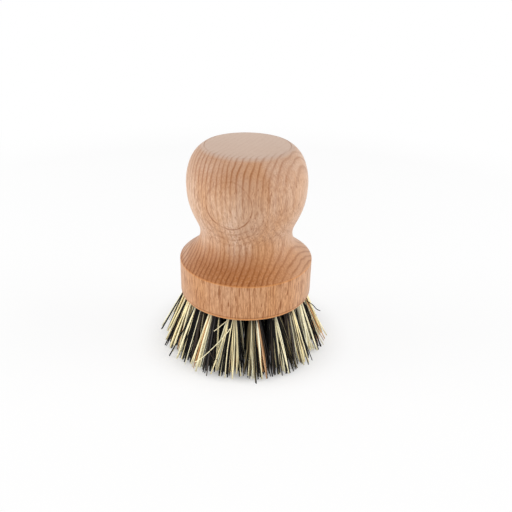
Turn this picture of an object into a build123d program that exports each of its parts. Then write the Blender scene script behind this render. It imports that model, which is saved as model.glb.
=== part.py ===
from build123d import *

import os
from math import acos, cos, degrees, pi, radians, sin, sqrt, tan

# Palm brush: a turned beech knob with tufts of stiff plant fibre set in its underside.
# Millimetres, +Z up. The origin is on the brush's axis, in the plane of the trimmed fibre tips on
# which the brush stands.

# Handle: a flange, a waist and a knob, turned from one block. Each pull is how far the curve keeps to
# its tangent beside the place that names it. Angles are in degrees.
flange_radius = 30.0
flange_height = 17.0
shoulder_width = 5.2
shoulder_angle = 37.8
shoulder_pull = 3.4
waist_inset = 9.4
waist_rise = 8.6
waist_pull_below = 3.4
waist_pull_above = 6.1
knob_bulge = 5.7
knob_rise = 22.7
knob_pull_below = 13.4
knob_upper_radius = 26.6
knob_upper_angle = 21.0
crown_inset = 7.8
crown_turn_radius = 13.3
underside_chamfer = 1.5
shoulder_chamfer = 0.4
crown_chamfer = 0.5

# Tuft holes, drilled in rings of 6, 12 and 18 round one hole in the middle
bristle_height = 26.0
hole_radius = 2.5
hole_depth = 8.0
hole_rim_wall = 0.6
ring_count = 3
first_ring_count = 6
splay_at_trim = 8.2

# Tuft: a bundle folded over its anchor, with strands that fan out of the hole, one in the middle and
# the others in a circle round it. The bundle fills its hole, so both have the same few flat sides.
tuft_sides = 8
bundle_clearance = 0.08
strand_radius = 0.55
strand_sides = 3
strand_embed = 2.2
strand_circle_radius = 1.65
circle_strand_count = 8
trim_half_width = 4.8
trim_half_depth = 4.2
ragged_reach = 0.35
ragged_drop = 2.0
floor_trim = 0.5

# Anchor: a flat strip of wire across the fold, wedged between the walls of its hole
anchor_height = 2.0
anchor_thickness = 0.4
anchor_roof = 0.6

# Run of every cutting tool past the face that it cuts
overrun = 1.0

# Places worked out from the sizes above
waist_radius = flange_radius - waist_inset
knob_radius = waist_radius + knob_bulge
crown_radius = knob_radius - crown_inset
underside_z = bristle_height
flange_top_z = underside_z + flange_height
outer_ring_radius = flange_radius - underside_chamfer - hole_rim_wall - hole_radius
ring_pitch = outer_ring_radius / ring_count
golden_turn = pi * (3 - sqrt(5))
half_side = 180 / tuft_sides
anchor_length = 2 * hole_radius * cos(radians(half_side))

# The shoulder is a cone, and the waist's cove rises from the cone's upper rim
shoulder_top_radius = flange_radius - shoulder_width
shoulder_top_z = flange_top_z + shoulder_width * tan(radians(shoulder_angle))
waist_z = shoulder_top_z + waist_rise
knob_z = waist_z + knob_rise

# The knob's upper side tightens into a smaller arc, which turns in until it meets the crown
crown_turn_centre = (
    knob_radius
    - knob_upper_radius
    + (knob_upper_radius - crown_turn_radius) * cos(radians(knob_upper_angle))
)
crown_turn = degrees(acos((crown_radius - crown_turn_centre) / crown_turn_radius)) - knob_upper_angle

ring_names = {1: "inner", 2: "middle", 3: "outer"}


def tuft_planes():
    """Name and seat of every tuft: a plane at the hole's mouth, its Z along the fibres."""
    seats = [("centre_tuft", Plane(origin=(0, 0, underside_z), x_dir=(1, 0, 0), z_dir=(0, 0, -1)))]
    for ring in range(1, ring_count + 1):
        count = first_ring_count * ring
        mouth_radius = ring_pitch * ring
        lean = splay_at_trim * ring / ring_count
        half_step = (ring + 1) % 2 / 2
        for number in range(count):
            turn = 2 * pi * (number + half_step) / count
            outward = Vector(cos(turn), sin(turn), 0)
            across = Vector(-sin(turn), cos(turn), 0)
            mouth = outward * mouth_radius + Vector(0, 0, underside_z)
            fibre_way = outward * lean - Vector(0, 0, bristle_height)
            name = f"{ring_names.get(ring, ring)}_tuft_{number + 1:02d}"
            seats.append((name, Plane(origin=mouth, x_dir=across, z_dir=fibre_way)))
    return seats


tuft_seats = tuft_planes()

# Each anchor lies across its hole, close under the fold
with BuildPart() as anchors:
    with BuildSketch(*[seat.offset(anchor_roof - hole_depth) for _, seat in tuft_seats]):
        Rectangle(anchor_length, anchor_thickness)
    extrude(amount=anchor_height)
anchors.part.label = "anchors"

# The holes as one group of drills, each along its own tuft's fibres
with BuildPart() as drills:
    with BuildSketch(*[seat.offset(-hole_depth) for _, seat in tuft_seats]):
        RegularPolygon(hole_radius, tuft_sides, rotation=half_side)
    extrude(amount=hole_depth + overrun)

# The handle is one turned block
with BuildPart() as handle:
    with BuildSketch(Plane.XZ) as profile:
        with BuildLine():
            Polyline((0, underside_z), (flange_radius, underside_z), (flange_radius, flange_top_z))
            shoulder = Line((flange_radius, flange_top_z), (shoulder_top_radius, shoulder_top_z))
            Bezier(
                shoulder @ 1,
                shoulder @ 1 + shoulder % 1 * shoulder_pull,
                (waist_radius, waist_z - waist_pull_below),
                (waist_radius, waist_z),
            )
            knob_lower = Bezier(
                (waist_radius, waist_z),
                (waist_radius, waist_z + waist_pull_above),
                (knob_radius, knob_z - knob_pull_below),
                (knob_radius, knob_z),
            )
            knob_upper = JernArc(knob_lower @ 1, knob_lower % 1, knob_upper_radius, knob_upper_angle)
            turn_in = JernArc(knob_upper @ 1, knob_upper % 1, crown_turn_radius, crown_turn)
            crown_z = (turn_in @ 1).Y
            Polyline(turn_in @ 1, (0, crown_z), (0, underside_z))
        make_face()
        flange_corners = profile.vertices().group_by(Axis.X)[-1].sort_by(Axis.Y)
        crown_corner = profile.vertices().group_by(Axis.Y)[-1].sort_by(Axis.X)[-1]
        chamfer(flange_corners[0], underside_chamfer)
        chamfer(flange_corners[-1], shoulder_chamfer)
        chamfer(crown_corner, crown_chamfer)
    revolve(axis=Axis.Z)
    add(drills.part, mode=Mode.SUBTRACT)
handle.part.label = "handle"


def strand_places():
    """Places of the strands across a bundle, as (radius, angle), one in its middle."""
    circle = [(strand_circle_radius, 2 * pi * n / circle_strand_count) for n in range(circle_strand_count)]
    return [(0.0, 0.0)] + circle


def ragged(number):
    """Even but unordered values from -1 to 1, one for each whole number, with 0 for 0."""
    return sin(number * golden_turn + number * number / 7)


def make_strand(seat, radius, angle, number):
    """One strand, from inside its bundle to its own trimmed tip."""
    root = seat.from_local_coords((radius * cos(angle), radius * sin(angle), 0))
    reach = ragged_reach * ragged(number)
    aim = seat.from_local_coords(
        (
            trim_half_width * radius / strand_circle_radius * cos(angle) + reach * cos(number * golden_turn),
            trim_half_depth * radius / strand_circle_radius * sin(angle) + reach * sin(number * golden_turn),
            bristle_height / abs(seat.z_dir.Z),
        )
    )
    way = (aim - root) / (root.Z - aim.Z)
    drop = ragged_drop * abs(ragged(3 * number))
    tip_z = max(0.0, drop - floor_trim)
    start = root - way * strand_embed
    with BuildSketch(Plane(origin=start, x_dir=seat.x_dir), mode=Mode.PRIVATE) as section:
        RegularPolygon(strand_radius, strand_sides)
    run = way * (start.Z - tip_z)
    return extrude(section.sketch, amount=run.length, dir=run, mode=Mode.PRIVATE)


def make_tuft(name, seat, first_number):
    """A tuft as one solid: its folded bundle with the groove for the anchor, and its strands."""
    with BuildPart() as tuft:
        with BuildSketch(seat.offset(bundle_clearance - hole_depth)):
            RegularPolygon(hole_radius - bundle_clearance, tuft_sides, rotation=half_side)
        extrude(amount=hole_depth - bundle_clearance)
        with BuildSketch(seat.offset(anchor_roof - hole_depth)):
            Rectangle(anchor_length, anchor_thickness)
        extrude(amount=anchor_height, mode=Mode.SUBTRACT)
        add(
            [
                make_strand(seat, radius, angle, first_number + index)
                for index, (radius, angle) in enumerate(strand_places())
            ]
        )
    tuft.part.label = name
    return tuft.part


os.makedirs("parts", exist_ok=True)
export_step(handle.part, "parts/handle.step")
export_step(anchors.part, "parts/anchors.step")
strands_made = 0
for tuft_name, tuft_seat in tuft_seats:
    export_step(make_tuft(tuft_name, tuft_seat, strands_made), f"parts/{tuft_name}.step")
    strands_made += len(strand_places())
print("crown height", round(crown_z, 2), "waist radius", waist_radius, "crown radius", round(crown_radius, 2))
print("tufts", len(tuft_seats), "strands", strands_made)
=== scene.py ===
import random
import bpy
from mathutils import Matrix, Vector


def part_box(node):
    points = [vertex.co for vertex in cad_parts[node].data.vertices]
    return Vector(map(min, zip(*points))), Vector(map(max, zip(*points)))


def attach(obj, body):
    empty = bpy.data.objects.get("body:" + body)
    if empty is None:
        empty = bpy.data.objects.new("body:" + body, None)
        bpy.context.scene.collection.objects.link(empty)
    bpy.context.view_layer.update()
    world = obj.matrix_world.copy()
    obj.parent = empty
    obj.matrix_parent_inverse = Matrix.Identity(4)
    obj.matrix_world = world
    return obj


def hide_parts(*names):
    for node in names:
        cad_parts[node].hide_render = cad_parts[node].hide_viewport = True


bl_info = {
    "name": "Palm Brush",
    "version": (1, 0, 0),
    "blender": (4, 5, 0),
    "location": "3D View > Sidebar > Palm Brush",
    "description": "Dresses the packed palm brush in beech and plant fibre, and sets its stage",
    "category": "Object",
}

from functools import reduce
from math import atan2, cos, pi, radians, sin, sqrt

import bmesh
import bpy
from mathutils import Matrix, Vector
from mathutils.geometry import interpolate_bezier

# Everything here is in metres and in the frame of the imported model, except where a name ends in
# _mm or _MM. The brush stands on the tips of its fibres, on the floor at height zero, with its
# axis on Z.
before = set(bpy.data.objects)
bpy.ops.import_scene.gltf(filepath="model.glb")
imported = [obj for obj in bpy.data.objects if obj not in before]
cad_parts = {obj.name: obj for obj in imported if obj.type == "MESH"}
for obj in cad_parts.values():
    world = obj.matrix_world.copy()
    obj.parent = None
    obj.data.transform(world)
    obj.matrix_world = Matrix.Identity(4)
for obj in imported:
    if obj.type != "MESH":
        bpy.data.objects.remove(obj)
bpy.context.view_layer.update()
MM = 0.001

HANDLE_LOW, HANDLE_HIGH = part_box("handle")
FLANGE_RADIUS = HANDLE_HIGH.x
UNDERSIDE = HANDLE_LOW.z
CROWN = HANDLE_HIGH.z

# The turned outline: its places as (radius, height), each with its curve's handles before and after
UNDERSIDE_MM = UNDERSIDE / MM
CROWN_MM = CROWN / MM
RIM_MM = ((28.3, UNDERSIDE_MM), (28.0, UNDERSIDE_MM), (28.85, UNDERSIDE_MM))
FLANGE_FOOT_MM = ((30.0, UNDERSIDE_MM), (29.45, UNDERSIDE_MM), (30.0, UNDERSIDE_MM + 5.6))
FLANGE_TOP_MM = ((30.0, 43.0), (30.0, 37.4), (28.27, 44.34))
SHOULDER_TOP_MM = ((24.8, 47.03), (26.53, 45.69), (22.11, 49.12))
WAIST_MM = ((20.6, 55.63), (20.6, 52.23), (20.6, 61.73))
KNOB_MM = ((26.3, 78.33), (26.3, 64.93), (26.3, 81.589))
TURN_IN_MM = ((24.533, 87.863), (25.701, 84.82), (23.403, 90.807))
CROWN_EDGE_MM = ((18.5, 94.768), (21.267, 93.255), (12.33, 94.768))
CROWN_MIDDLE_MM = ((0.0, CROWN_MM), (6.17, CROWN_MM), (0.0, CROWN_MM))
CURVE_STEPS = 12

# Turned edges that are rounded, as (radius, height, rounding, steps)
ROUNDED_EDGES = (
    (FLANGE_RADIUS, UNDERSIDE, 1.5 * MM, 6),
    (FLANGE_TOP_MM[0][0] * MM, FLANGE_TOP_MM[0][1] * MM, 0.4 * MM, 4),
    (CROWN_EDGE_MM[0][0] * MM, CROWN, 0.5 * MM, 4),
)

# Tuft holes: rings of 6, 12 and 18 round one hole in the middle, as they are drilled in the handle
HOLE_RADIUS = 2.5 * MM
HOLE_DEPTH = 8.0 * MM
RING_PITCH = 25.4 / 3 * MM
SPLAY_AT_TRIM = 8.2 * MM
HOLE_SIDES = 24
RINGS = {"inner": 6, "middle": 12, "outer": 18}

# Kinds of fibre across each outer tuft, from left to right as seen from outside the brush:
# p pale, c copper among pale, o olive, g grey-brown, d dark
OUTER_TUFT_KINDS = (
    "cpd",
    "pdg",
    "dop",
    "pgd",
    "dpo",
    "gdp",
    "pdc",
    "dgp",
    "opd",
    "pdp",
    "pdp",
    "dpdg",
    "ppgd",
    "pdpd",
    "opcd",
    "gpdo",
    "gpd",
    "pdc",
)
KIND_SHARES = {
    "p": (("pale", 0.82), ("copper", 0.05), ("olive", 0.05), ("dark", 0.08)),
    "c": (("copper", 0.4), ("pale", 0.4), ("dark", 0.2)),
    "o": (("olive", 0.55), ("dark", 0.25), ("pale", 0.2)),
    "g": (("grey", 0.55), ("dark", 0.3), ("pale", 0.15)),
    "d": (("dark", 0.84), ("grey", 0.07), ("pale", 0.09)),
}

# Kinds of fibre that the hidden tufts draw their three from
HIDDEN_TUFT_KINDS = "pddog"

# Mean and spread of how light a fibre is beside its kind's colour
USUAL_TINT_LEVEL = (1.0, 0.16)
TINT_LEVELS = {"pale": (1.07, 0.14), "dark": (1.0, 0.3)}
LEAST_TINT_LEVEL = 0.45
WARMTH_SPREAD = 0.04
WARMTH_IN_BLUE = 2.2


def srgb(red, green, blue):
    """Linear colour of an sRGB colour given from 0 to 255."""
    return tuple(
        ((part / 255 + 0.055) / 1.055) ** 2.4 if part > 10 else part / 255 / 12.92
        for part in (red, green, blue)
    )


def colour(name, description, shade):
    """A colour that a user may change."""
    return bpy.props.FloatVectorProperty(
        name=name, description=description, subtype="COLOR", size=3, min=0, max=1,
        default=srgb(*shade),
    )


def length(name, description, size):
    """A length that a user may change, in metres."""
    return bpy.props.FloatProperty(
        name=name, description=description, unit="LENGTH", subtype="DISTANCE", precision=4, min=0,
        default=size,
    )


class PalmBrushBeech(bpy.types.PropertyGroup):
    """Sizes and colours of the turned handle."""

    ring_spacing: length("Ring Spacing", "Distance between two growth rings", 2.2 * MM)
    spin_steps: bpy.props.IntProperty(
        name="Lathe Steps", description="Flats round the turned handle",
        default=160, min=32, max=512,
    )
    # Pale wood, also painted as sheen along the left and right sides of the handle
    pale: colour("Pale Wood and Sheen", "Wood between two growth rings", (229, 199, 175))
    warm: colour("Warm Wood", "Wood where the block is darker", (205, 155, 112))
    # Ring colour, also painted as shade on the shoulder under the knob
    ring: colour("Ring Line and Shoulder Shade", "Dense wood at the end of a year's growth", (138, 75, 20))
    # Painted light from above on the crown and the top of the knob; also pales the knob's front
    # middle
    crown: colour("Crown in Top Light", "Paler, pinker wood of the sanded crown", (192, 165, 147))
    # Orange wood: the yellow tone, the worn upper edge of the flange with its painted highlight,
    # and painted shade on the flange's foot
    edge: colour("Orange Wood and Edge Shading", "Wood burnished orange along the turned edges", (214, 142, 74))
    # Ray flecks, also painted as shade on the waist's right and in a line above the flange's foot,
    # and darkening the top of the knob
    fleck_and_shade: colour("Ray Fleck and Shade", "Short dark flecks of the wood's rays", (138, 80, 36))
    roughness: bpy.props.FloatProperty(
        name="Roughness", description="Roughness of the sanded wood",
        subtype="FACTOR", default=0.6, min=0, max=1,
    )


class PalmBrushFibre(bpy.types.PropertyGroup):
    """Sizes and colours of the plant fibres."""

    thickness: length("Thickness", "Mean thickness of a fibre", 0.6 * MM)
    trim_half_width: length(
        "Half Width at Trim", "Reach of a tuft to each side where it is trimmed", 7.4 * MM
    )
    trim_half_depth: length(
        "Half Depth at Trim", "Reach of a tuft inwards and outwards at the trim", 5.6 * MM
    )
    ragged: length(
        "Ragged Trim", "Usual distance from a fibre's tip to the plane of the trim", 0.9 * MM
    )
    seed: bpy.props.IntProperty(
        name="Seed", description="Start of the fibres' variation", default=11, min=0
    )
    pale: colour("Pale Fibre", "Bleached straw fibre", (255, 245, 205))
    copper: colour("Copper Fibre", "Reddish fibre among the pale ones", (208, 160, 114))
    olive: colour("Olive Fibre", "Green-brown fibre", (124, 113, 83))
    grey: colour("Grey Fibre", "Grey-brown fibre", (78, 68, 60))
    dark: colour("Dark Fibre", "Nearly black palm fibre", (14, 12, 11))


class PalmBrushStage(bpy.types.PropertyGroup):
    """The studio round the brush."""

    floor_colour: colour("Floor", "Pale floor", (246, 246, 246))
    floor_lift: bpy.props.FloatProperty(
        name="Floor Lift",
        description="Share of the floor that the camera sees as plain white",
        subtype="FACTOR", default=0.82, min=0, max=1,
    )
    world_strength: bpy.props.FloatProperty(
        name="World Strength", description="Light that comes from all round", default=0.5, min=0
    )
    side_watts: bpy.props.FloatProperty(
        name="Side Lights", description="Power of each side light", unit="POWER", default=3.9, min=0
    )
    front_watts: bpy.props.FloatProperty(
        name="Front Light", description="Power of the light in front",
        unit="POWER", default=3.0, min=0,
    )
    top_watts: bpy.props.FloatProperty(
        name="Top Light", description="Power of the light overhead",
        unit="POWER", default=0.5, min=0,
    )
    camera_target: bpy.props.FloatVectorProperty(
        name="Camera Target", description="Point that the camera looks at",
        subtype="XYZ", unit="LENGTH", size=3, default=(4.555 * MM, 0, 42.3 * MM),
    )
    camera_distance: length("Camera Distance", "From the camera to its target", 280.07 * MM)
    camera_pitch: bpy.props.FloatProperty(
        name="Camera Pitch", description="How far the camera looks down",
        subtype="ANGLE", default=radians(27.33),
    )
    camera_roll: bpy.props.FloatProperty(
        name="Camera Roll", description="Turn of the camera about its own line of sight",
        subtype="ANGLE", default=radians(1.39),
    )
    camera_lens: bpy.props.FloatProperty(
        name="Lens", description="Focal length of the lens",
        subtype="DISTANCE_CAMERA", default=42.95, min=1,
    )


# Materials ----------------------------------------------------------------------------------------


def add_node(tree, kind, sockets=None, **settings):
    """A new node with its settings, and each named socket set to a value or linked to an output."""
    new = tree.nodes.new(kind)
    for name, value in settings.items():
        setattr(new, name, value)
    for name, value in (sockets or {}).items():
        if isinstance(value, bpy.types.NodeSocket):
            tree.links.new(value, new.inputs[name])
        else:
            new.inputs[name].default_value = value
    return new


def calc(tree, operation, *values):
    """Output of a Math node."""
    return add_node(tree, "ShaderNodeMath", dict(enumerate(values)), operation=operation).outputs[0]


def times(tree, *values):
    """Product of all the values."""
    return reduce(lambda first, second: calc(tree, "MULTIPLY", first, second), values)


def plus(tree, *values):
    """Sum of all the values."""
    return reduce(lambda first, second: calc(tree, "ADD", first, second), values)


def minus(tree, first, second):
    """The first value less the second."""
    return calc(tree, "SUBTRACT", first, second)


def distance(tree, first, second):
    """Length of the two values at right angles."""
    return calc(tree, "SQRT", plus(tree, times(tree, first, first), times(tree, second, second)))


def blend_colour(tree, factor, first, second, way="MIX"):
    """Output of a colour mix."""
    mix = add_node(tree, "ShaderNodeMix", data_type="RGBA", blend_type=way)
    for socket, value in ((mix.inputs[0], factor), (mix.inputs[6], first), (mix.inputs[7], second)):
        if isinstance(value, bpy.types.NodeSocket):
            tree.links.new(value, socket)
        elif socket == mix.inputs[0]:
            socket.default_value = value
        else:
            socket.default_value = (*value, 1)
    return mix.outputs[2]


def scaled(tree, vector, scale):
    """The vector with each of its parts times its own scale."""
    return add_node(tree, "ShaderNodeMapping", {"Vector": vector, "Scale": scale}).outputs[0]


def noise(tree, vector, scale, detail=2.0, roughness=0.5, distortion=0.0):
    """Output of a noise from 0 to 1."""
    sockets = {
        "Vector": vector,
        "Scale": scale,
        "Detail": detail,
        "Roughness": roughness,
        "Distortion": distortion,
    }
    return add_node(tree, "ShaderNodeTexNoise", sockets).outputs["Fac"]


def spread(tree, value, low, high, to_low=0.0, to_high=1.0):
    """A value from low to high mapped smoothly to other limits."""
    sockets = {"Value": value, 1: low, 2: high, 3: to_low, 4: to_high}
    return add_node(tree, "ShaderNodeMapRange", sockets, interpolation_type="SMOOTHSTEP").outputs[0]


def band(tree, value, start, full, fade, end):
    """0 up to start, 1 from full to fade and 0 from end."""
    return times(tree, spread(tree, value, start, full), spread(tree, value, end, fade))


def window(tree, value, low, high, soft):
    """1 from low to high and 0 outside, over edges that reach as far as soft to both sides."""
    return band(tree, value, low - soft, low + soft, high - soft, high + soft)


def line_at(tree, value, centre, outer, inner):
    """A line where the value is the centre: full up to inner beside it, and gone from outer."""
    return spread(tree, calc(tree, "ABSOLUTE", minus(tree, value, centre)), outer, inner)


def ramp(tree, value, stops):
    """Grey level that runs through (position, level) stops."""
    new = add_node(tree, "ShaderNodeValToRGB", {"Fac": value})
    elements = new.color_ramp.elements
    while len(elements) < len(stops):
        elements.new(0.5)
    for element, (position, level) in zip(elements, stops):
        element.position = position
        element.color = (level, level, level, 1)
    return new.outputs["Color"]


def link_bump(tree, shader, relief, strength):
    """Gives a shader a fine relief."""
    sockets = {"Strength": strength, "Distance": RELIEF, "Height": relief}
    bump = add_node(tree, "ShaderNodeBump", sockets)
    tree.links.new(bump.outputs[0], shader.inputs["Normal"])


def link_mix(tree, output, factor, first, second):
    """Links a mix of two shaders to an output's surface."""
    mix = add_node(
        tree, "ShaderNodeMixShader", {0: factor, 1: first.outputs[0], 2: second.outputs[0]}
    )
    tree.links.new(mix.outputs[0], output.inputs["Surface"])


def new_material(name):
    """An empty material with its output and shader."""
    material = bpy.data.materials.new(name)
    material.use_nodes = True
    tree = material.node_tree
    tree.nodes.clear()
    shader = add_node(tree, "ShaderNodeBsdfPrincipled")
    output = add_node(tree, "ShaderNodeOutputMaterial")
    tree.links.new(shader.outputs[0], output.inputs["Surface"])
    return material, tree, shader


# Depth of the fine relief of wood and fibre
RELIEF = 0.04 * MM

# How dark the wood is through one year's growth, as (share of the year, level)
LATE_WOOD = (
    (0.0, 0.4),
    (0.07, 0.04),
    (0.44, 0.0),
    (0.64, 0.2),
    (0.8, 0.92),
    (0.91, 1.0),
    (1.0, 0.4),
)

# How much of the end grain shows, as (share of the handle's height, level)
END_GRAIN = (
    (0.0, 0.2),
    (0.24, 0.22),
    (0.25, 0.95),
    (0.32, 0.9),
    (0.40, 0.6),
    (0.50, 0.42),
    (0.68, 0.22),
    (0.80, 0.4),
    (0.88, 0.64),
    (0.96, 0.8),
    (0.988, 0.6),
    (0.997, 0.1),
)

# The oval in the front of the knob, as (x, z). The arcs below it are placed by their distance from
# its centre, where its own line is at 1, and shaded as (share of their pitch, level).
OVAL_CENTRE_MM = (-6.6, 76.5)
OVAL_HALF_SIZE_MM = (9.2, 10.2)
ARC_LEVELS = ((0.0, 0.0), (0.3, 0.0), (0.48, 1.0), (0.6, 0.8), (0.85, 0.0))
FIRST_ARC = 0.86
ARC_PITCH = 0.29

# Patches that tint the wood in places: colour, share of it, range in X, range in Z, and half the
# width of the patch's edges. Some are painted shade and some painted sheen; the others make the
# wood darker or paler in places
TONE_SHADE_AND_SHEEN_MM = (
    # Darker at the top left of the knob
    ("fleck_and_shade", 0.15, (-40, -1.5), (82.5, 100), 4),
    # Darker at the top right of the knob
    ("fleck_and_shade", 0.14, (7.5, 19.5), (67, 100), 2.5),
    # Painted shade on the right of the waist
    ("fleck_and_shade", 0.1, (9, 40), (51, 63.5), 3),
    # Paler and pinker in the middle of the knob's front
    ("crown", 0.3, (-4, 7), (63, 88), 2.5),
    # Painted shade of the knob on the front of the shoulder
    ("ring", 0.2, (-17.5, 5.5), (45, 55), 2.5),
    # Painted sheen along the left side of the knob
    ("pale", 0.34, (-40, -23), (46.5, 100), 4),
    # Painted highlight along the left edge of the shoulder
    ("pale", 0.3, (-40, -26), (43.8, 49), 1.2),
    # Painted sheen down the whole right side of the handle
    ("pale", 0.2, (21, 40), (0, 100), 5),
    # More painted sheen on the right side of the knob
    ("pale", 0.22, (21, 40), (62, 100), 5),
)

# Radius of the fine dark line round the crown
CROWN_LINE_MM = 18.3


def growth_rings(tree, place_mm, short_grain, spacing_mm):
    """The rings, upright sheets that face the front right, and how far they wander."""
    wander = times(tree, minus(tree, noise(tree, short_grain, 0.12, 2.0), 0.5), 2.8)
    facing = (-0.91, 0.41, -0.05)
    sockets = {0: place_mm, 1: facing}
    sheets = add_node(tree, "ShaderNodeVectorMath", sockets, operation="DOT_PRODUCT")
    ring_place = plus(tree, sheets.outputs["Value"], wander)
    year = calc(tree, "FRACT", calc(tree, "DIVIDE", ring_place, spacing_mm))
    return ramp(tree, year, LATE_WOOD), wander


def knob_oval(tree, x, y, z, place_mm, wander):
    """A swelling in the front of the knob: its oval line, the fainter arcs below it, and how much
    fewer strokes of the rays cross it."""
    in_front = spread(tree, y, -10.0, -17.0)
    across = calc(tree, "DIVIDE", minus(tree, x, OVAL_CENTRE_MM[0]), OVAL_HALF_SIZE_MM[0])
    up = calc(tree, "DIVIDE", minus(tree, z, OVAL_CENTRE_MM[1]), OVAL_HALF_SIZE_MM[1])
    far = plus(tree, distance(tree, across, up), times(tree, wander, 0.06))
    broken = spread(tree, noise(tree, place_mm, 0.35, 2.0), 0.4, 0.55, 0.35, 1.0)
    low_side = times(tree, spread(tree, up, 0.9, -0.8, 0.3, 1.0), in_front, broken)
    line = times(tree, line_at(tree, far, 1.0, 0.05, 0.01), low_side)
    arc = calc(tree, "FRACT", calc(tree, "DIVIDE", minus(tree, far, FIRST_ARC), ARC_PITCH))
    arcs = times(
        tree,
        ramp(tree, arc, ARC_LEVELS),
        band(tree, far, 1.1, 1.25, 1.3, 2.5),
        low_side,
        spread(tree, up, -0.4, -1.0),
    )
    return line, arcs, times(tree, in_front, spread(tree, far, 1.7, 1.0, 0.0, 0.035))


def ray_flecks(tree, x, z, place_mm, short_grain, end_grain):
    """Short flecks of the wood's rays, most of them on the flange and to the right."""
    level = plus(
        tree,
        noise(tree, scaled(tree, place_mm, (3.0, 3.0, 0.22)), 1.0, 1.0, 0.5),
        spread(tree, z, 46.0, 42.0, 0.0, 0.03),
        spread(tree, x, 0.0, 14.0, 0.0, 0.02),
        spread(tree, noise(tree, short_grain, 0.4), 0.3, 0.7, -0.06, 0.04),
    )
    level = minus(tree, level, times(tree, band(tree, z, 44.0, 50.0, 64.0, 74.0), 0.06))
    return times(
        tree,
        spread(tree, level, 0.58, 0.66),
        spread(tree, end_grain, 0.3, 0.9, 1.0, 0.2),
        spread(tree, z, 93.6, 94.4, 1.0, 0.4),
    )


def ray_strokes(tree, z, place_mm, short_grain, end_grain, fewer):
    """Longer strokes of the rays along the grain."""
    level = plus(
        tree,
        noise(tree, scaled(tree, place_mm, (1.9, 1.9, 0.17)), 1.0, 1.0, 0.5, 0.3),
        spread(tree, noise(tree, short_grain, 0.3), 0.3, 0.7, -0.04, 0.04),
    )
    level = minus(tree, minus(tree, level, spread(tree, z, 42.0, 66.0, 0.0, 0.02)), fewer)
    return times(
        tree,
        spread(tree, level, 0.6, 0.655),
        spread(tree, end_grain, 0.4, 0.9, 1.0, 0.0),
        spread(tree, z, 92.0, 89.0),
    )


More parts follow.
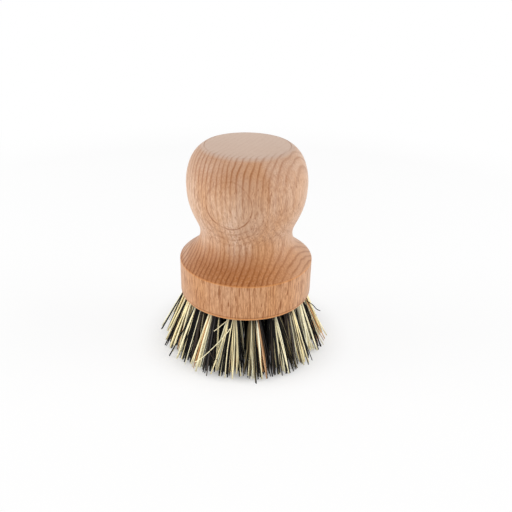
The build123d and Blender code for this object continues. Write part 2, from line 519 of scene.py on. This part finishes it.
def beech_material(beech):
    """Sanded beech: growth rings, long fine grain, ray flecks and a worn upper edge on the flange,
    with painted shade, painted light and painted sheen in places.
    """
    material, tree, shader = new_material("turned_beech")
    place = add_node(tree, "ShaderNodeTexCoord").outputs["Object"]
    place_mm = scaled(tree, place, (1 / MM, 1 / MM, 1 / MM))
    x, y, z = add_node(tree, "ShaderNodeSeparateXYZ", {0: place_mm}).outputs
    from_axis = distance(tree, x, y)
    long_grain = scaled(tree, place_mm, (1, 1, 0.06))
    short_grain = scaled(tree, place_mm, (1, 1, 0.25))

    # End grain shows the rings strongly, and the long sides of the block show them softly
    late_wood, wander = growth_rings(tree, place_mm, short_grain, beech.ring_spacing / MM)
    height = calc(tree, "DIVIDE", minus(tree, z, UNDERSIDE / MM), (CROWN - UNDERSIDE) / MM)
    end_grain = ramp(tree, height, END_GRAIN)
    patchy = spread(tree, noise(tree, short_grain, 0.16, 3.0), 0.3, 0.62, 0.55, 1.0)
    rings = times(tree, late_wood, end_grain, patchy, spread(tree, x, 22.0, -5.0, 0.62, 1.0))
    crown_front = times(tree, spread(tree, from_axis, 14.0, 18.0), spread(tree, y, -5.0, -13.0))
    crown_rings = times(tree, crown_front, spread(tree, z, 94.0, 94.5), late_wood, 0.3)
    rings = plus(tree, rings, crown_rings)

    # Long streaks, fine fibres, flecks and strokes of the rays, and fine lines
    oval_line, arcs, fewer = knob_oval(tree, x, y, z, place_mm, wander)
    streaks = spread(tree, noise(tree, long_grain, 1.1, 4.0, 0.7), 0.36, 0.64)
    fibres = spread(tree, noise(tree, short_grain, 2.0, 3.0, 0.7), 0.36, 0.64)
    flecks = ray_flecks(tree, x, z, place_mm, short_grain, end_grain)
    strokes = ray_strokes(tree, z, place_mm, short_grain, end_grain, fewer)
    drawn = scaled(tree, place_mm, (1.7, 1.7, 0.03))
    lines = spread(tree, noise(tree, drawn, 1.0, 3.0, 0.6), 0.53, 0.63)

    # The wood's own tone changes across the block, and with the way that the lathe cut it. Painted
    # shade and painted light are laid over it in places.
    tone = plus(tree, noise(tree, short_grain, 0.07, 3.0), times(tree, end_grain, 0.1))
    # Painted shade of the knob on the shoulder: darker and browner, most in front, least to the
    # right
    shoulder_shade = times(
        tree,
        band(tree, z, 42.6, 43.2, 45.0, 56.0),
        spread(tree, x, 24.0, 4.0, 0.42, 1.0),
        spread(tree, x, -26.0, -10.0, 0.88, 1.0),
    )
    # Yellower in places along the grain and towards the flange's foot, and in the shoulder's
    # painted shade
    yellow = plus(
        tree,
        spread(tree, noise(tree, long_grain, 0.11, 2.0), 0.4, 0.7, 0.0, 0.14),
        times(tree, spread(tree, z, 43.2, 42.6), spread(tree, z, 42.0, 28.0, 0.17, 0.34)),
        times(tree, shoulder_shade, 0.16),
    )
    # Painted light from above: the top of the knob and the crown paler and pinker
    lit_top = plus(
        tree, spread(tree, z, 84.0, 93.0, 0.0, 0.22), spread(tree, z, 93.3, 94.6, 0.0, 0.7)
    )
    crown_line = times(
        tree,
        line_at(tree, from_axis, CROWN_LINE_MM, 0.4, 0.12),
        spread(tree, z, 94.0, 94.4),
        spread(tree, y, -12.0, 4.0, 0.0, 0.66),
    )
    # Patches of painted shade and painted sheen, and of darker or paler wood
    tone_shade_and_sheen = []
    for shade, share, x_range, z_range, soft in TONE_SHADE_AND_SHEEN_MM:
        inside = times(tree, window(tree, x, *x_range, soft), window(tree, z, *z_range, soft))
        tone_shade_and_sheen.append((times(tree, inside, share), getattr(beech, shade)))

    # Each layer is a share and the colour that it blends in, from the ground up
    layers = (
        (times(tree, spread(tree, z, 56.0, 42.0), 0.6), beech.warm),
        # Painted shade on the shoulder, in the colour of the ring lines
        (times(tree, shoulder_shade, 0.95), beech.ring),
        (yellow, beech.edge),
        (times(tree, streaks, 0.45), beech.warm),
        (times(tree, fibres, 0.32), beech.ring),
        (times(tree, lines, spread(tree, z, 45.0, 42.0, 0.12, 0.5)), beech.ring),
        # Darker towards the top of the knob
        (spread(tree, z, 78.0, 90.0, 0.0, 0.2), beech.fleck_and_shade),
        *tone_shade_and_sheen,
        # Painted light from above on the crown and the knob's top
        (lit_top, beech.crown),
        (times(tree, rings, 0.95), beech.ring),
        # Ring lines darker still in the shoulder's painted shade
        (times(tree, rings, shoulder_shade, 0.25), beech.ring, "MULTIPLY"),
        (times(tree, flecks, 0.45), beech.fleck_and_shade),
        (times(tree, strokes, spread(tree, z, 60.0, 42.0, 0.56, 0.84)), beech.fleck_and_shade),
        (times(tree, arcs, 0.42), beech.ring),
        (times(tree, oval_line, 0.7), beech.ring),
        # Along the flange: an orange line on its upper edge, which is worn and has a painted
        # highlight;
        # painted shade on its rounded foot, which faces down, and a dark line of painted shade
        # above it
        (times(tree, band(tree, z, 42.4, 42.8, 43.0, 43.3), 0.4), beech.edge),
        (times(tree, band(tree, z, 26.0, 26.2, 27.1, 27.7), 0.7), beech.edge),
        (times(tree, band(tree, z, 27.3, 27.6, 27.8, 28.2), 0.55), beech.fleck_and_shade),
        (crown_line, beech.fleck_and_shade),
    )
    wood = blend_colour(tree, spread(tree, tone, 0.4, 0.75), beech.pale, beech.warm)
    for share, shade, *way in layers:
        wood = blend_colour(tree, share, wood, shade, *way)
    tree.links.new(wood, shader.inputs["Base Color"])

    relief = minus(tree, times(tree, fibres, 0.5), times(tree, flecks, 0.5))
    link_bump(tree, shader, relief, 0.2)
    gloss = spread(tree, streaks, 0.0, 1.0, beech.roughness - 0.04, beech.roughness + 0.06)
    tree.links.new(gloss, shader.inputs["Roughness"])
    shader.inputs["Specular IOR Level"].default_value = 0.3
    shader.inputs["Sheen Weight"].default_value = 0.36
    shader.inputs["Sheen Roughness"].default_value = 0.4
    shader.inputs["Sheen Tint"].default_value = (1.0, 0.93, 0.85, 1)
    return material


def fibre_material():
    """Plant fibre in each fibre's own tint, with streaks along it and painted shade at the root."""
    material, tree, shader = new_material("plant_fibre")
    tint = add_node(tree, "ShaderNodeAttribute", attribute_name="tint").outputs["Color"]
    run = add_node(tree, "ShaderNodeAttribute", attribute_name="run").outputs["Vector"]
    stretched = scaled(tree, run, (2.2, 0.12, 7.0))
    streaks = noise(tree, stretched, 1.0, 3.0, 0.6)
    along = add_node(tree, "ShaderNodeSeparateXYZ", {0: run}).outputs[1]
    shade = times(
        tree,
        spread(tree, streaks, 0.25, 0.75, 0.84, 1.18),
        # Painted shade at the root, where the fibre leaves its hole
        spread(tree, along, -1.0, 6.0, 0.5, 1.0),
        spread(tree, along, 21.0, 27.5, 1.0, 0.76),
    )
    grey = add_node(tree, "ShaderNodeCombineXYZ", {0: shade, 1: shade, 2: shade}).outputs[0]
    tree.links.new(blend_colour(tree, 1.0, tint, grey, "MULTIPLY"), shader.inputs["Base Color"])
    link_bump(tree, shader, streaks, 0.3)
    tree.links.new(spread(tree, streaks, 0.3, 0.7, 0.42, 0.6), shader.inputs["Roughness"])
    shader.inputs["Specular IOR Level"].default_value = 0.18
    return material


def wire_material():
    """Drawn flat wire with fine lines along it."""
    material, tree, shader = new_material("anchor_wire")
    place = add_node(tree, "ShaderNodeTexCoord").outputs["Object"]
    drawn = scaled(tree, place, (300, 300, 9000))
    lines = noise(tree, drawn, 1.0, 2.0)
    dull, bright = srgb(150, 148, 142), srgb(208, 206, 200)
    wire = blend_colour(tree, spread(tree, lines, 0.3, 0.7), dull, bright)
    tree.links.new(wire, shader.inputs["Base Color"])
    tree.links.new(spread(tree, lines, 0.3, 0.7, 0.28, 0.42), shader.inputs["Roughness"])
    shader.inputs["Metallic"].default_value = 1.0
    return material


def seen_white(tree, share):
    """The share of plain white that the camera, gloss and glass see, and 0 for all other light."""
    path = add_node(tree, "ShaderNodeLightPath")
    seen = calc(tree, "MAXIMUM", path.outputs["Is Camera Ray"], path.outputs["Is Glossy Ray"])
    seen = calc(tree, "MAXIMUM", seen, path.outputs["Is Transmission Ray"])
    return times(tree, seen, share)


def floor_material(stage):
    """Plain pale floor that keeps the brush's shadow."""
    material, tree, shader = new_material("studio_floor")
    shader.inputs["Base Color"].default_value = (*stage.floor_colour, 1)
    shader.inputs["Roughness"].default_value = 0.9
    shader.inputs["Specular IOR Level"].default_value = 0.0
    white = add_node(tree, "ShaderNodeEmission", {"Color": (1, 1, 1, 1), "Strength": 1.0})
    place = add_node(tree, "ShaderNodeTexCoord").outputs["Object"]
    far = add_node(tree, "ShaderNodeVectorMath", {0: place}, operation="LENGTH").outputs["Value"]
    near_lift = spread(tree, far, 26 * MM, 54 * MM, 0.1, stage.floor_lift)
    factor = seen_white(tree, calc(tree, "MAXIMUM", near_lift, spread(tree, far, 0.05, 0.4)))
    link_mix(tree, tree.nodes["Material Output"], factor, shader, white)
    return material


# Shapes -------------------------------------------------------------------------------------------


def add_piece(name, shape, material, slot, *nodes):
    """Turns a finished bmesh into a piece of the brush that stands for its CAD nodes."""
    mesh = bpy.data.meshes.new(name)
    shape.to_mesh(mesh)
    shape.free()
    mesh.materials.append(material)
    piece = bpy.data.objects.new(name, mesh)
    bpy.context.scene.collection.objects.link(piece)
    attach(piece, "root")
    if nodes:
        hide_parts(*nodes)
    return piece


def tuft_seats():
    """Name and seat of every tuft. A seat's X runs across it, and its Z out along the fibres."""
    seats = [("centre_tuft", Matrix.Translation((0, 0, UNDERSIDE)) @ Matrix.Rotation(pi, 4, "X"))]
    for ring, (ring_name, count) in enumerate(RINGS.items(), start=1):
        lean = SPLAY_AT_TRIM * ring / len(RINGS)
        half_step = (ring + 1) % 2 / 2
        for number in range(count):
            turn = 2 * pi * (number + half_step) / count
            outward = Vector((cos(turn), sin(turn), 0))
            across = Vector((-sin(turn), cos(turn), 0))
            fibre_way = (outward * lean - Vector((0, 0, UNDERSIDE))).normalized()
            depth_way = fibre_way.cross(across)
            axes = Matrix((across, depth_way, fibre_way)).transposed().to_4x4()
            mouth = outward * RING_PITCH * ring + Vector((0, 0, UNDERSIDE))
            seats.append((f"{ring_name}_tuft_{number + 1:02d}", Matrix.Translation(mouth) @ axes))
    return seats


def turned_outline():
    """The handle's outline as a curve, from the rim round its holes to the middle of the crown."""
    points = (
        RIM_MM,
        FLANGE_FOOT_MM,
        FLANGE_TOP_MM,
        SHOULDER_TOP_MM,
        WAIST_MM,
        KNOB_MM,
        TURN_IN_MM,
        CROWN_EDGE_MM,
        CROWN_MIDDLE_MM,
    )
    outline = bpy.data.curves.new("outline", "CURVE")
    outline.dimensions = "3D"
    outline.resolution_u = CURVE_STEPS
    spline = outline.splines.new("BEZIER")
    spline.bezier_points.add(len(points) - 1)
    for point, (knot, before, after) in zip(spline.bezier_points, points):
        point.handle_left_type = point.handle_right_type = "FREE"
        point.co = (knot[0] * MM, 0, knot[1] * MM)
        point.handle_left = (before[0] * MM, 0, before[1] * MM)
        point.handle_right = (after[0] * MM, 0, after[1] * MM)
    return outline


def edges_at(shape, radius, height):
    """Edges of the ring at one radius and height of a turned shape."""
    near = 0.01 * MM

    def is_there(vert):
        return abs(vert.co.z - height) < near and abs(vert.co.xy.length - radius) < near

    return [edge for edge in shape.edges if all(is_there(vert) for vert in edge.verts)]


def make_handle(beech):
    """The turned block: its outline spun round the axis, its edges rounded and its holes let in."""
    holder = bpy.data.objects.new("outline", turned_outline())
    outline = bpy.data.meshes.new_from_object(holder)
    shape = bmesh.new()
    shape.from_mesh(outline)
    bmesh.ops.dissolve_limit(shape, angle_limit=radians(0.1), verts=shape.verts, edges=shape.edges)
    bmesh.ops.spin(
        shape,
        geom=shape.verts[:] + shape.edges[:],
        axis=(0, 0, 1),
        cent=(0, 0, 0),
        steps=beech.spin_steps,
        angle=2 * pi,
        use_merge=True,
    )
    bmesh.ops.remove_doubles(shape, verts=shape.verts, dist=0.001 * MM)
    for radius, height, rounding, segments in ROUNDED_EDGES:
        bmesh.ops.bevel(
            shape,
            geom=edges_at(shape, radius, height),
            offset=rounding,
            segments=segments,
            profile=0.5,
            affect="EDGES",
            material=-1,
        )
    rims = [edge for edge in shape.edges if edge.is_boundary]
    mouths = []
    for _, seat in tuft_seats():
        slant = -seat.to_3x3().col[2].z
        stretch = Matrix.Diagonal((1, 1 / slant, 1, 1))
        spin = Matrix.Rotation(atan2(seat.col[0].y, seat.col[0].x), 4, "Z")
        flat = Matrix.Translation(seat.translation) @ spin @ stretch
        ring = bmesh.ops.create_circle(shape, radius=HOLE_RADIUS, segments=HOLE_SIDES, matrix=flat)
        verts = set(ring["verts"])
        edges = [edge for edge in shape.edges if verts.issuperset(edge.verts)]
        mouths.append((edges, seat))
        rims += edges
    bmesh.ops.triangle_fill(
        shape, edges=rims, use_beauty=True, use_dissolve=False, normal=(0, 0, -1)
    )
    for edges, seat in mouths:
        wall = bmesh.ops.extrude_edge_only(shape, edges=edges)["geom"]
        deep = [v for v in wall if isinstance(v, bmesh.types.BMVert)]
        bmesh.ops.translate(shape, verts=deep, vec=seat.to_3x3() @ Vector((0, 0, -HOLE_DEPTH)))
        bottom = [e for e in wall if isinstance(e, bmesh.types.BMEdge) and e.is_boundary]
        bmesh.ops.contextual_create(shape, geom=bottom)
        for edge in edges + bottom:
            edge.smooth = False
    bmesh.ops.recalc_face_normals(shape, faces=shape.faces)
    for face in shape.faces:
        face.smooth = face.normal.z > -0.999
    bpy.data.meshes.remove(outline)
    bpy.data.curves.remove(holder.data)
    return shape


# A folded fibre runs from one tip up into its hole, over the anchor and down to its other tip. Its
# legs have a ring at each of these shares of their length, and it has three more round the anchor.
FIBRE_SIDES = 5
LEG_SHARES = (1.0, 0.78, 0.52, 0.26, 0.0)
ANCHOR_EDGE = -5.4 * MM
FOLD = -7.6 * MM
FIBRE_RINGS = 2 * len(LEG_SHARES) + 3

# Rows of fibres in one half of a hole, out from the anchor
BUNDLE_RADIUS = 2.2 * MM
ROW_COUNT = 6
FIRST_ROW_MM = 0.22
ROW_PITCH_MM = 0.38
HALF_COLUMN_COUNT = 5
COLUMN_PITCH = 0.46 * MM

# Beside the anchor the legs lie close: room for it, the pitch of the rows, and the furthest
ANCHOR_ROOM = 0.2 * MM
CLOSE_PITCH = 0.32 * MM
CLOSE_REACH = 2.0 * MM

# Width of each kind beside the mean, how that varies, how flat a fibre is, and how much narrower a
# pale one is that lies among darker ones
KIND_WIDTHS = {"pale": 1.15, "copper": 0.9, "olive": 0.78, "grey": 0.9, "dark": 1.0}
WIDTH_RANGE = (0.8, 1.3)
FLATNESS_RANGE = (0.55, 0.85)
DARKER_KINDS = "dgo"
THIN_PALE = 0.66

# How much a tuft gathers and shifts at the trim, and how far its clumps run into each other, as a
# share of the hole's width
GATHER_RANGE = (0.88, 1.06)
SHIFT_ACROSS_MM = 0.5
SHIFT_IN_DEPTH_MM = 0.35
CLUMP_BLUR = 0.04

# How far tips go astray at the trim: most of them, the loose ones and their share, and the furthest
USUAL_ASTRAY_MM = 0.7
LOOSE_ASTRAY_MM = 2.3
LOOSE_SHARE = 0.18
MOST_ASTRAY_MM = 3.2

# How far a leg bows, how much a whole clump may be shorter, and the ends' height above the floor
BOW_MM = 0.38
CLUMP_SHORTER_MM = 1.1
TIP_CLEARANCE = 0.3 * MM
HIGHEST_TIP = 4 * MM

# Slant of a fibre's cut ends, and the range of each fibre's own number in its material
END_SLANT = 0.9
NUMBER_RANGE = 90


def unit_fibre(rings):
    """A straight closed tube, one high for each ring, from which every fibre is bent."""
    shape = bmesh.new()
    bmesh.ops.create_circle(shape, radius=1.0, segments=FIBRE_SIDES)
    loop = shape.edges[:]
    bmesh.ops.contextual_create(shape, geom=loop)
    for _ in range(rings - 1):
        new = bmesh.ops.extrude_edge_only(shape, edges=loop)["geom"]
        verts = [v for v in new if isinstance(v, bmesh.types.BMVert)]
        bmesh.ops.translate(shape, verts=verts, vec=(0, 0, 1))
        loop = [e for e in new if isinstance(e, bmesh.types.BMEdge) and e.is_boundary]
    bmesh.ops.contextual_create(shape, geom=loop)
    bmesh.ops.recalc_face_normals(shape, faces=shape.faces)
    for face in shape.faces:
        face.smooth = len(face.verts) == 4
    mesh = bpy.data.meshes.new("unit_fibre")
    shape.to_mesh(mesh)
    shape.free()
    return mesh


def bend_fibre(shape, unit, path, sizes, turn, tint, cuts, own_number, side_way, hidden=HOLE_DEPTH):
    """Adds a fibre along a path. Sizes are its two half widths, turn spins its section from the
    side way, cuts slant its two ends, and hidden is the length to each side of its middle that
    lies in a hole."""
    before = len(shape.verts)
    shape.from_mesh(unit)
    shape.verts.ensure_lookup_table()
    tint_layer = shape.verts.layers.float_color["tint"]
    run_layer = shape.verts.layers.float_vector["run"]
    frames, run = [], 0.0
    for index, point in enumerate(path):
        way = (path[min(index + 1, len(path) - 1)] - path[max(index - 1, 0)]).normalized()
        first = (side_way - way * side_way.dot(way)).normalized()
        second = way.cross(first)
        run += (point - path[index - 1]).length if index else 0.0
        turned_first = first * cos(turn) + second * sin(turn)
        turned_second = second * cos(turn) - first * sin(turn)
        frames.append((point, way, turned_first, turned_second, run))
    middle = run / 2
    wide, thick = sizes
    end_cuts = {0: cuts[0], len(path) - 1: cuts[1]}
    for vert in shape.verts[before:]:
        ring = round(vert.co.z)
        point, way, first, second, run = frames[ring]
        slant = way * vert.co.x * end_cuts.get(ring, 0.0) * wide
        angle = atan2(vert.co.y, vert.co.x) / pi
        vert[tint_layer] = (*tint, 1)
        vert[run_layer] = (abs(angle), (abs(run - middle) - hidden) / MM, own_number)
        vert.co = point + first * vert.co.x * wide + second * vert.co.y * thick + slant


def bundle_places():
    """Places of the folded fibres in one half of a hole, in rows out from the anchor."""
    places = []
    for row in range(ROW_COUNT):
        depth = (FIRST_ROW_MM + ROW_PITCH_MM * row) * MM
        for column in range(-HALF_COLUMN_COUNT, HALF_COLUMN_COUNT + 1):
            across = (column + row % 2 / 2) * COLUMN_PITCH
            if sqrt(across * across + depth * depth) < BUNDLE_RADIUS:
                places.append((across, depth, row))
    return places


class PALM_BRUSH_OT_handle(bpy.types.Operator):
    """Turn the beech handle and drill its tuft holes"""

    bl_idname = "palm_brush.handle"
    bl_label = "Turn Handle"

    def execute(self, context):
        beech = context.scene.palm_brush_beech
        add_piece("turned_handle", make_handle(beech), beech_material(beech), "beech", "handle")
        return {"FINISHED"}


class PALM_BRUSH_OT_anchors(bpy.types.Operator):
    """Give the wire anchors in the holes their drawn finish"""

    bl_idname = "palm_brush.anchors"
    bl_label = "Finish Anchors"

    def execute(self, context):
        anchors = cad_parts["anchors"]
        anchors.data.materials.clear()
        anchors.data.materials.append(wire_material())
        return {"FINISHED"}


def vary(dice, shade, kind):
    """A fibre's own tint, near the colour of its kind."""
    level = max(LEAST_TINT_LEVEL, dice.gauss(*TINT_LEVELS.get(kind, USUAL_TINT_LEVEL)))
    warmth = dice.gauss(0.0, WARMTH_SPREAD)
    red, green, blue = shade
    own_blue = max(0.0, blue * level * (1 - WARMTH_IN_BLUE * warmth))
    tint = (red * level * (1 + warmth), green * level, own_blue)
    return tuple(part / max(1.0, *tint) for part in tint)


def make_tuft(fibre, dice, unit, seat, kinds):
    """One tuft: fibres folded over the anchor, both legs of each fanning out to the trim."""
    shape = bmesh.new()
    shape.verts.layers.float_color.new("tint")
    shape.verts.layers.float_vector.new("run")
    turn_only = seat.to_3x3()
    reach = -UNDERSIDE / turn_only.col[2].z
    gather = dice.uniform(*GATHER_RANGE)
    shift = Vector((dice.gauss(0, SHIFT_ACROSS_MM), dice.gauss(0, SHIFT_IN_DEPTH_MM), 0)) * MM
    uneven = [dice.uniform(0, CLUMP_SHORTER_MM) * MM for _ in kinds]
    for across, depth, row in bundle_places():
        share = (across / HOLE_RADIUS + 1) / 2 + dice.gauss(0, CLUMP_BLUR)
        group = min(len(kinds) - 1, max(0, int(share * len(kinds))))
        names, weights = zip(*KIND_SHARES[kinds[group]])
        kind = dice.choices(names, weights)[0]
        tint = vary(dice, getattr(fibre, kind), kind)
        wide = fibre.thickness / 2 * KIND_WIDTHS[kind] * dice.uniform(*WIDTH_RANGE)
        if kind == "pale" and kinds[group] in DARKER_KINDS:
            wide *= THIN_PALE
        thick = wide * dice.uniform(*FLATNESS_RANGE)
        legs = []
        for side in (1, -1):
            root = Vector((across, side * depth, 0))
            loose = USUAL_ASTRAY_MM if dice.random() > LOOSE_SHARE else LOOSE_ASTRAY_MM
            aim = Vector(
                (
                    across / HOLE_RADIUS * fibre.trim_half_width * gather,
                    side * depth / HOLE_RADIUS * fibre.trim_half_depth * gather,
                    reach,
                )
            )
            astray = [
                max(-MOST_ASTRAY_MM, min(MOST_ASTRAY_MM, dice.gauss(0, loose))) for _ in range(2)
            ]
            aim += shift + Vector((*astray, 0)) * MM
            start, end = seat @ root, seat @ aim
            tip_height = min(HIGHEST_TIP, abs(dice.gauss(0, 1)) * fibre.ragged + uneven[group])
            end = start + (end - start) * (start.z - tip_height - TIP_CLEARANCE) / (start.z - end.z)
            bow = turn_only @ Vector((dice.gauss(0, BOW_MM), dice.gauss(0, BOW_MM), 0)) * MM
            leg = [start.lerp(end, part) + bow * sin(pi * part) for part in LEG_SHARES]
            squeezed = ANCHOR_ROOM + thick + CLOSE_PITCH * row
            leg.append(seat @ Vector((across, side * min(squeezed, CLOSE_REACH), ANCHOR_EDGE)))
            legs.append(leg)
        top = seat @ Vector((across, 0, FOLD))
        path = legs[0] + [top] + legs[1][::-1]
        cuts = (dice.uniform(-END_SLANT, END_SLANT), dice.uniform(-END_SLANT, END_SLANT))
        turn = dice.uniform(0, pi)
        own_number = dice.uniform(0, NUMBER_RANGE)
        bend_fibre(
            shape, unit, path, (wide, thick), turn, tint, cuts, own_number, turn_only.col[0]
        )
    return shape


class PALM_BRUSH_OT_tufts(bpy.types.Operator):
    """Fill every hole with its tuft of plant fibres"""

    bl_idname = "palm_brush.tufts"
    bl_label = "Fill Tufts"

    def execute(self, context):
        fibre = context.scene.palm_brush_fibre
        dice = random.Random(fibre.seed)
        material = fibre_material()
        unit = unit_fibre(FIBRE_RINGS)
        for name, seat in tuft_seats():
            if name.startswith("outer"):
                kinds = OUTER_TUFT_KINDS[int(name[-2:]) - 1]
            else:
                kinds = "".join(dice.sample(HIDDEN_TUFT_KINDS, 3))
            shape = make_tuft(fibre, dice, unit, seat, kinds)
            add_piece(f"{name}_fibres", shape, material, "plant_fibre", name)
        bpy.data.meshes.remove(unit)
        return {"FINISHED"}


# Loose fibres round the tufts, as (kind, half width, points), all in mm
STRAYS_MM = (
    (
        "pale", 0.17,
        ((-5.9, -25.4, 23.6), (-6.87, -27.3, 24.9), (-9.8, -29.6, 23.4), (-12.67, -31.4, 21.8)),
    ),
    (
        "pale", 0.17,
        ((-6.4, -29.2, 21.2), (-7.5, -31.0, 20.2), (-14.6, -33.4, 12.6), (-21.2, -32.4, 6.0)),
    ),
    (
        "grey", 0.1,
        ((-14.0, -33.6, 14.4), (-14.1, -34.4, 12.4), (-12.9, -34.9, 10.4), (-10.8, -35.2, 9.5)),
    ),
    (
        "dark", 0.2,
        ((28.6, -4.0, 21.4), (31.9, -4.9, 19.6), (33.2, -5.0, 18.0), (35.4, -5.2, 16.9)),
    ),
    (
        "pale", 0.15,
        ((14.2, 28.4, 22.0), (16.4, 30.0, 16.0), (21.4, 29.6, 9.6), (27.6, 27.8, 5.2)),
    ),
    (
        "olive", 0.14,
        ((-12.0, 30.0, 20.0), (-13.4, 33.0, 13.0), (-9.4, 35.2, 8.0), (-6.8, 36.2, 4.4)),
    ),
)
STRAY_RINGS = 10
STRAY_FLATNESS = 0.8
STRAY_SIDE_WAY = (0.2, 0.3, 0.93)


def smooth_path(points):
    """A smooth path that runs through four points."""
    first, second, third, last = points
    leave = (18 * second - 5 * first - 9 * third + 2 * last) / 6
    arrive = (18 * third - 5 * last - 9 * second + 2 * first) / 6
    return interpolate_bezier(first, leave, arrive, last, STRAY_RINGS)


class PALM_BRUSH_OT_strays(bpy.types.Operator):
    """Lay the few fibres that came loose across the tufts"""

    bl_idname = "palm_brush.strays"
    bl_label = "Lay Stray Fibres"

    def execute(self, context):
        fibre = context.scene.palm_brush_fibre
        dice = random.Random(fibre.seed + 1)
        shape = bmesh.new()
        shape.verts.layers.float_color.new("tint")
        shape.verts.layers.float_vector.new("run")
        unit = unit_fibre(STRAY_RINGS)
        for kind, half_width, points_mm in STRAYS_MM:
            path = smooth_path([Vector(point) * MM for point in points_mm])
            sizes = (half_width * MM, STRAY_FLATNESS * half_width * MM)
            tint = vary(dice, getattr(fibre, kind), kind)
            own_number = dice.uniform(0, NUMBER_RANGE)
            side_way = Vector(STRAY_SIDE_WAY)
            bend_fibre(
                shape, unit, path, sizes, 0.0, tint, (0, 0), own_number, side_way, -HOLE_DEPTH
            )
        bpy.data.meshes.remove(unit)
        material = bpy.data.objects["centre_tuft_fibres"].active_material
        add_piece("stray_fibres", shape, material, "plant_fibre")
        return {"FINISHED"}


# The soft lights face the middle of the brush, each as (name, width, place)
LIGHT_TARGET = (0, 0, 0.055)
LEFT_SOFTBOX = ("left_softbox", 0.6, (-0.8, -0.05, 0.38))
RIGHT_SOFTBOX = ("right_softbox", 0.6, (0.74, -0.05, 0.52))
FRONT_SOFTBOX = ("front_softbox", 0.8, (0, -0.98, 0.26))
TOP_SOFTBOX = ("top_softbox", 0.7, (0, -0.1, 0.9))
RIGHT_SHARE = 0.9
FLOOR_HALF_SIZE = 3.0


def add_light(name, width, place, watts):
    """A large soft light that faces the brush."""
    lamp = bpy.data.lights.new(name, "AREA")
    lamp.shape = "DISK"
    lamp.size = width
    lamp.energy = watts
    light = bpy.data.objects.new(name, lamp)
    light.location = place
    facing = Vector(LIGHT_TARGET) - Vector(place)
    light.rotation_euler = facing.to_track_quat("-Z", "Y").to_euler()
    bpy.context.scene.collection.objects.link(light)


class PALM_BRUSH_OT_stage(bpy.types.Operator):
    """Set the pale floor, the soft lights, the white surroundings and the camera"""

    bl_idname = "palm_brush.stage"
    bl_label = "Set Stage"

    def execute(self, context):
        scene = context.scene
        stage = scene.palm_brush_stage
        scene.view_settings.view_transform = "Standard"

        shape = bmesh.new()
        bmesh.ops.create_grid(shape, x_segments=1, y_segments=1, size=FLOOR_HALF_SIZE)
        mesh = bpy.data.meshes.new("studio_floor")
        shape.to_mesh(mesh)
        shape.free()
        mesh.materials.append(floor_material(stage))
        floor = bpy.data.objects.new("studio_floor", mesh)
        scene.collection.objects.link(floor)

        world = bpy.data.worlds.new("studio")
        world.use_nodes = True
        tree = world.node_tree
        tree.nodes.clear()
        level, white = (
            add_node(tree, "ShaderNodeBackground", {"Color": (1, 1, 1, 1), "Strength": strength})
            for strength in (stage.world_strength, 1.0)
        )
        output = add_node(tree, "ShaderNodeOutputWorld")
        link_mix(tree, output, seen_white(tree, 1.0), level, white)
        scene.world = world

        add_light(*LEFT_SOFTBOX, stage.side_watts)
        add_light(*RIGHT_SOFTBOX, RIGHT_SHARE * stage.side_watts)
        add_light(*FRONT_SOFTBOX, stage.front_watts)
        add_light(*TOP_SOFTBOX, stage.top_watts)

        lens = bpy.data.cameras.new("photo_camera")
        lens.lens = stage.camera_lens
        lens.sensor_width = 36
        lens.clip_start = 0.01
        camera = bpy.data.objects.new("photo_camera", lens)
        pitch = stage.camera_pitch
        back = Vector((0, -cos(pitch), sin(pitch))) * stage.camera_distance
        camera.matrix_world = (
            Matrix.Translation(Vector(stage.camera_target) + back)
            @ Matrix.Rotation(pi / 2 - pitch, 4, "X")
            @ Matrix.Rotation(stage.camera_roll, 4, "Z")
        )
        scene.collection.objects.link(camera)
        scene.camera = camera
        return {"FINISHED"}


class PALM_BRUSH_PT_panel(bpy.types.Panel):
    """Lists the steps that dress the brush, with their sizes and colours"""

    bl_idname = "PALM_BRUSH_PT_panel"
    bl_label = "Palm Brush"
    bl_space_type = "VIEW_3D"
    bl_region_type = "UI"
    bl_category = "Palm Brush"

    def draw(self, context):
        layout = self.layout
        layout.use_property_split = True
        groups = (
            (context.scene.palm_brush_beech, ("handle", "anchors")),
            (context.scene.palm_brush_fibre, ("tufts", "strays")),
            (context.scene.palm_brush_stage, ("stage",)),
        )
        for group, steps in groups:
            box = layout.box()
            for name in type(group).__annotations__:
                box.prop(group, name)
            for step in steps:
                box.operator(f"palm_brush.{step}")


CLASSES = (
    PalmBrushBeech,
    PalmBrushFibre,
    PalmBrushStage,
    PALM_BRUSH_OT_handle,
    PALM_BRUSH_OT_anchors,
    PALM_BRUSH_OT_tufts,
    PALM_BRUSH_OT_strays,
    PALM_BRUSH_OT_stage,
    PALM_BRUSH_PT_panel,
)


def register():
    for cls in CLASSES:
        bpy.utils.register_class(cls)
    bpy.types.Scene.palm_brush_beech = bpy.props.PointerProperty(type=PalmBrushBeech)
    bpy.types.Scene.palm_brush_fibre = bpy.props.PointerProperty(type=PalmBrushFibre)
    bpy.types.Scene.palm_brush_stage = bpy.props.PointerProperty(type=PalmBrushStage)


def unregister():
    del bpy.types.Scene.palm_brush_stage
    del bpy.types.Scene.palm_brush_fibre
    del bpy.types.Scene.palm_brush_beech
    for cls in reversed(CLASSES):
        bpy.utils.unregister_class(cls)


def main():
    register()
    bpy.ops.palm_brush.handle()
    bpy.ops.palm_brush.anchors()
    bpy.ops.palm_brush.tufts()
    bpy.ops.palm_brush.strays()
    bpy.ops.palm_brush.stage()


if __name__ == "__main__":
    main()
